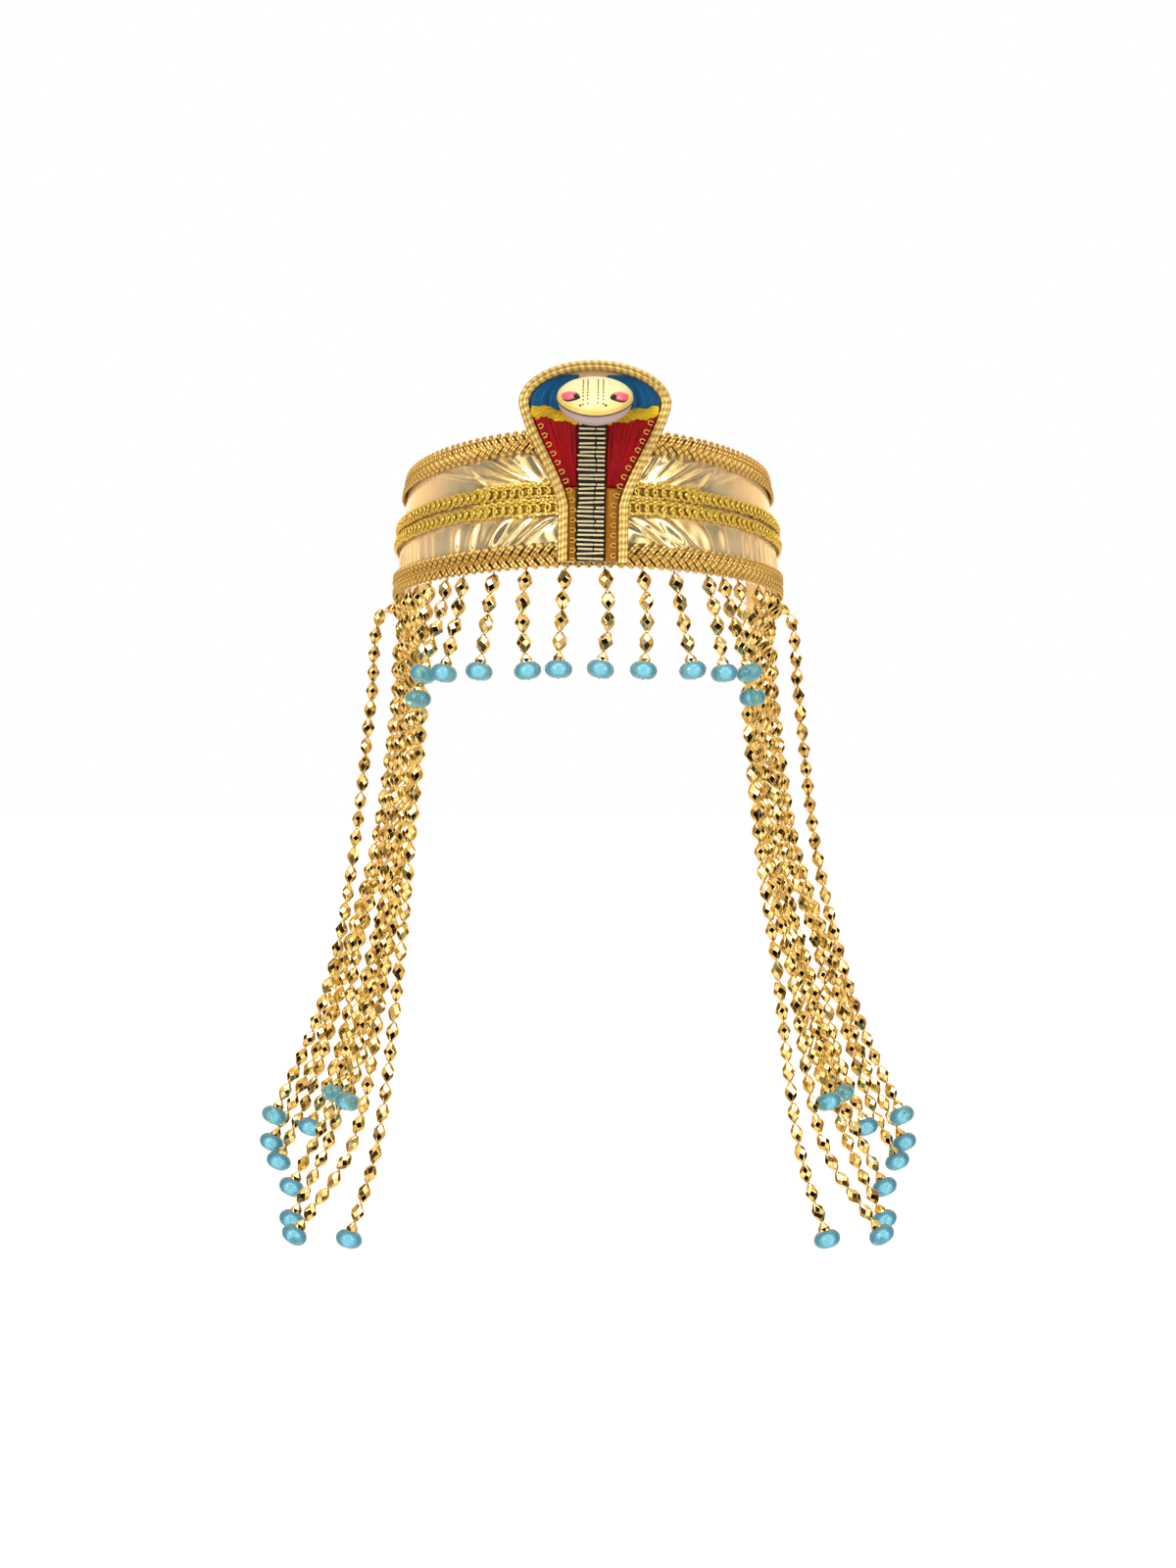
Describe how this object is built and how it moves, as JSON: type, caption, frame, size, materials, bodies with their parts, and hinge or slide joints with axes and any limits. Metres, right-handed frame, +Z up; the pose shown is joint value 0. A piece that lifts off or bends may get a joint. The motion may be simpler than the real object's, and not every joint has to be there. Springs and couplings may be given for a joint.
{
  "type": "egyptian costume headpiece",
  "caption": "Gold lamé headband with gimp braid, an upright cobra at the forehead, a short bead fringe in front and long bead strands hanging at both sides.",
  "frame": {"origin": "middle of the band's lower rim, where the head goes in, level with the rim at the widest part of the sides", "axes": "+Z up, the wearer faces -Y, +X to the right as the front is looked at"},
  "size_m": [0.3046, 0.2371, 0.3793],
  "materials": {
    "lame": "metallic gold lamé, glossy, softly creased",
    "gimp_braid": "metallic gold gimp, looped and plaited",
    "gold_cord": "pale gold braided cord",
    "buckram": "dark stiff backing cloth",
    "satin_blue": "satin floss",
    "satin_yellow": "satin floss",
    "satin_red": "satin floss",
    "satin_mustard": "satin floss",
    "cream_bugle": "cream bugle beads on black thread",
    "pale_gold_paint": "pale gold paint, satin",
    "mauve_paint": "mauve paint, matt",
    "red_stone": "polished",
    "gold_bead": "gold metallised, polished facets"
  },
  "bodies": {
    "root": {"headband": "lame", "back_strap": "lame", "braid_top": "gimp_braid", "braid_middle_upper": "gimp_braid", "braid_middle_lower": "gimp_braid", "braid_bottom": "gimp_braid", "hood_backing": "buckram", "hood_edging": "gold_cord", "panel_blue_left": "satin_blue", "panel_blue_right": "satin_blue", "panel_yellow_left": "satin_yellow", "panel_yellow_right": "satin_yellow", "panel_red_left": "satin_red", "panel_red_right": "satin_red", "panel_mustard_left": "satin_mustard", "panel_mustard_right": "satin_mustard", "belly_column": "cream_bugle", "cobra_head": "pale_gold_paint", "cobra_jaw": "mauve_paint", "eye_left": "red_stone", "eye_right": "red_stone", "fringe_01": "gold_bead", "fringe_02": "gold_bead", "fringe_03": "gold_bead", "fringe_04": "gold_bead", "fringe_05": "gold_bead", "fringe_06": "gold_bead", "fringe_07": "gold_bead", "fringe_08": "gold_bead", "fringe_09": "gold_bead", "fringe_10": "gold_bead", "fringe_11": "gold_bead", "fringe_12": "gold_bead", "strand_left_01": "gold_bead", "strand_left_02": "gold_bead", "strand_left_03": "gold_bead", "strand_left_04": "gold_bead", "strand_left_05": "gold_bead", "strand_left_06": "gold_bead", "strand_left_07": "gold_bead", "strand_left_08": "gold_bead", "strand_left_09": "gold_bead", "strand_left_10": "gold_bead", "strand_right_01": "gold_bead", "strand_right_02": "gold_bead", "strand_right_03": "gold_bead", "strand_right_04": "gold_bead", "strand_right_05": "gold_bead", "strand_right_06": "gold_bead", "strand_right_07": "gold_bead", "strand_right_08": "gold_bead", "strand_right_09": "gold_bead", "strand_right_10": "gold_bead"}
  },
  "joints": []
}
